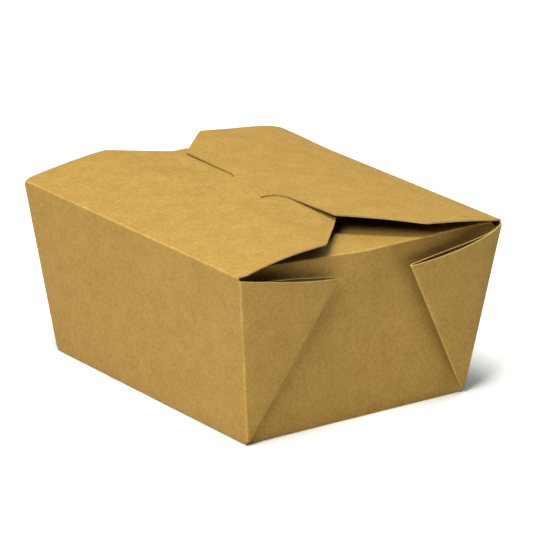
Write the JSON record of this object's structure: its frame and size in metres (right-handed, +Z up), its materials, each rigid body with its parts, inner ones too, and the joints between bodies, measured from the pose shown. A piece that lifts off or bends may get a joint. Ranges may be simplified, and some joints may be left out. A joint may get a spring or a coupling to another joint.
{
  "type": "takeaway box",
  "caption": "Folded kraft paperboard takeaway carton with leaning sides, webbed corners folded onto the ends, and a hinged back lid flap locked by a tongue in the front one.",
  "frame": {"origin": "middle of the base's underside, on the surface that the carton stands on", "axes": "+X along the length and the lid folds, +Y from the front lid fold to the back one, +Z up"},
  "size_m": [0.131, 0.1096, 0.0677],
  "materials": {
    "kraft_card": "matt uncoated kraft board with fine fibres"
  },
  "bodies": {
    "tub": {"carton": "kraft_card"},
    "back_lid": {"back_flap": "kraft_card"}
  },
  "joints": [
    {"name": "back_lid_fold", "type": "hinge", "parent": "tub", "child": "back_lid", "pos_m": [0, 0.0545, 0.062], "axis": [-1, 0, 0], "range_deg": [0, 180]}
  ]
}
